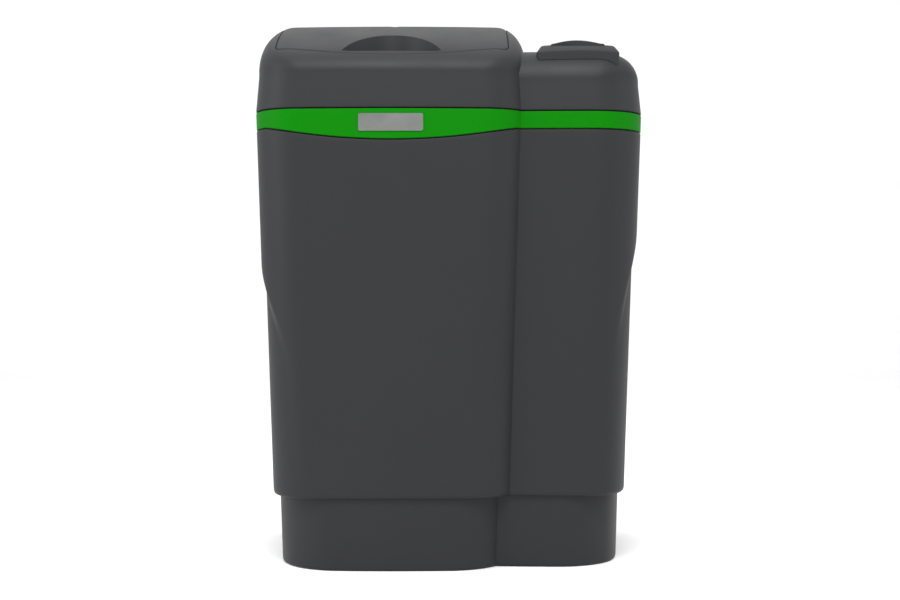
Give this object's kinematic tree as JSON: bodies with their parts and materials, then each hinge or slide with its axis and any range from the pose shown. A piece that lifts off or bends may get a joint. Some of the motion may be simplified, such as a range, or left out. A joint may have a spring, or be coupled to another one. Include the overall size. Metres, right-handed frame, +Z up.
{
  "type": "whole house water filter",
  "caption": "Floor-standing twin-lobe water filter cabinet with a hinged fill lid, a service cap, a media tank, a control valve and a rear bypass with pipe tails.",
  "frame": {"origin": "on the floor, under the middle of the cabinet's width and depth", "axes": "+X to the right seen from the front, +Y to the rear where the pipes are, +Z up"},
  "size_m": [0.643, 0.5182, 0.9135],
  "materials": {
    "shell_grey": "fine grained, satin",
    "trim_green": "smooth, satin",
    "badge_silver": "brushed, bare",
    "steel": "brushed",
    "zinc_screw": "plated",
    "tank_black": "wound fibre, matt",
    "boot_black": "matt",
    "gravel": "rough",
    "media": "beads",
    "natural_plastic": "smooth",
    "valve_black": "satin",
    "seal_black": "matt",
    "piston_coat": "smooth",
    "gear_white": "smooth",
    "motor_metal": "satin",
    "housing_grey": "satin",
    "window_clear": "clear",
    "board_green": "lacquered",
    "button_grey": "matt",
    "handle_red": "satin",
    "tube_white": "smooth",
    "pipe_white": "smooth",
    "well_white": "smooth"
  },
  "bodies": {
    "cabinet": {"cabinet_body": "shell_grey", "trim_band": "trim_green", "badge_plate": "badge_silver", "top_cover": "shell_grey", "hinge_pins": "steel", "rear_screws": "zinc_screw", "media_tank": "tank_black", "tank_boot": "boot_black", "gravel_bed": "gravel", "filter_media": "media", "riser_tube": "natural_plastic", "tank_screens": "natural_plastic", "neck_insert": "natural_plastic", "valve_body": "valve_black", "injector": "natural_plastic", "injector_cap": "valve_black", "spacer_stack": "natural_plastic", "piston_seals": "seal_black", "end_plug": "valve_black", "drive_motor": "motor_metal", "motor_screws": "zinc_screw", "gear_bracket": "valve_black", "gear_axle": "steel", "control_housing": "housing_grey", "display_window": "window_clear", "circuit_board": "board_green", "brine_elbow": "natural_plastic", "brine_tube": "tube_white", "drain_elbow": "valve_black", "meter_cage": "natural_plastic", "water_seals": "seal_black", "port_clips": "handle_red", "bypass_body": "valve_black", "bypass_bonnets": "valve_black", "union_nuts": "valve_black", "port_tailpieces": "pipe_white", "overflow_elbow": "valve_black", "overflow_nut": "valve_black", "power_inlet": "valve_black", "salt_platform": "well_white", "brine_well": "well_white", "well_cap": "well_white", "shutoff_valve": "natural_plastic", "pickup_tube": "pipe_white"},
    "lid": {"fill_lid": "shell_grey"},
    "cap": {"service_cap": "shell_grey"},
    "drive": {"drive_gear": "gear_white"},
    "reduction": {"reduction_gear": "gear_white"},
    "pinion": {"motor_pinion": "gear_white"},
    "piston": {"piston_rod": "piston_coat"},
    "turbine": {"flow_turbine": "natural_plastic"},
    "float": {"brine_float": "natural_plastic"},
    "inlet_plug": {"inlet_rotor": "natural_plastic", "inlet_handle": "handle_red"},
    "outlet_plug": {"outlet_rotor": "natural_plastic", "outlet_handle": "handle_red"},
    "menu_key": {"menu_button": "button_grey"},
    "down_key": {"down_button": "button_grey"},
    "up_key": {"up_button": "button_grey"},
    "rinse_key": {"rinse_button": "button_grey"}
  },
  "joints": [
    {"name": "lid_hinge", "type": "hinge", "parent": "cabinet", "child": "lid", "pos_m": [-0.095, 0.147, 0.909], "axis": [-1, 0, 0], "range_deg": [0, 100]},
    {"name": "cap_hinge", "type": "hinge", "parent": "cabinet", "child": "cap", "pos_m": [0.2105, 0.075, 0.8585], "axis": [-1, 0, 0], "range_deg": [0, 100]},
    {"name": "inlet_turn", "type": "hinge", "parent": "cabinet", "child": "inlet_plug", "pos_m": [0.136, 0.224, 0.648], "axis": [0, 0, 1], "range_deg": [0, 90]},
    {"name": "outlet_turn", "type": "hinge", "parent": "cabinet", "child": "outlet_plug", "pos_m": [0.2, 0.224, 0.648], "axis": [0, 0, 1], "range_deg": [0, 90]},
    {"name": "drive_spin", "type": "hinge", "parent": "cabinet", "child": "drive", "pos_m": [0.168, -0.067, 0.644], "axis": [0, 1, 0], "range_deg": [0, 1260]},
    {"name": "reduction_spin", "type": "hinge", "parent": "cabinet", "child": "reduction", "pos_m": [0.168, -0.067, 0.674], "axis": [0, 1, 0], "range_deg": [-5040, 0]},
    {"name": "pinion_spin", "type": "hinge", "parent": "cabinet", "child": "pinion", "pos_m": [0.168, -0.07, 0.698], "axis": [0, 1, 0], "range_deg": [0, 15120]},
    {"name": "piston_slide", "type": "slide", "parent": "cabinet", "child": "piston", "axis": [0, -1, 0], "range_m": [0, 0.028]},
    {"name": "turbine_spin", "type": "hinge", "parent": "cabinet", "child": "turbine", "pos_m": [0.2, 0.1327, 0.612], "axis": [0, 1, 0], "continuous": true},
    {"name": "float_lift", "type": "slide", "parent": "cabinet", "child": "float", "axis": [0, 0, 1], "range_m": [0, 0.02]},
    {"name": "menu_press", "type": "slide", "parent": "cabinet", "child": "menu_key", "axis": [0, 0, -1], "range_m": [0, 0.0012], "stiffness_N_per_m": 300},
    {"name": "down_press", "type": "slide", "parent": "cabinet", "child": "down_key", "axis": [0, 0, -1], "range_m": [0, 0.0012], "stiffness_N_per_m": 300},
    {"name": "up_press", "type": "slide", "parent": "cabinet", "child": "up_key", "axis": [0, 0, -1], "range_m": [0, 0.0012], "stiffness_N_per_m": 300},
    {"name": "rinse_press", "type": "slide", "parent": "cabinet", "child": "rinse_key", "axis": [0, 0, -1], "range_m": [0, 0.0012], "stiffness_N_per_m": 300}
  ],
  "couplings": [
    {"joint": "reduction_spin", "follows": "drive_spin", "ratio": -4},
    {"joint": "pinion_spin", "follows": "drive_spin", "ratio": 12},
    {"joint": "piston_slide", "follows": "drive_spin", "m_per_rad": 0.001273}
  ]
}
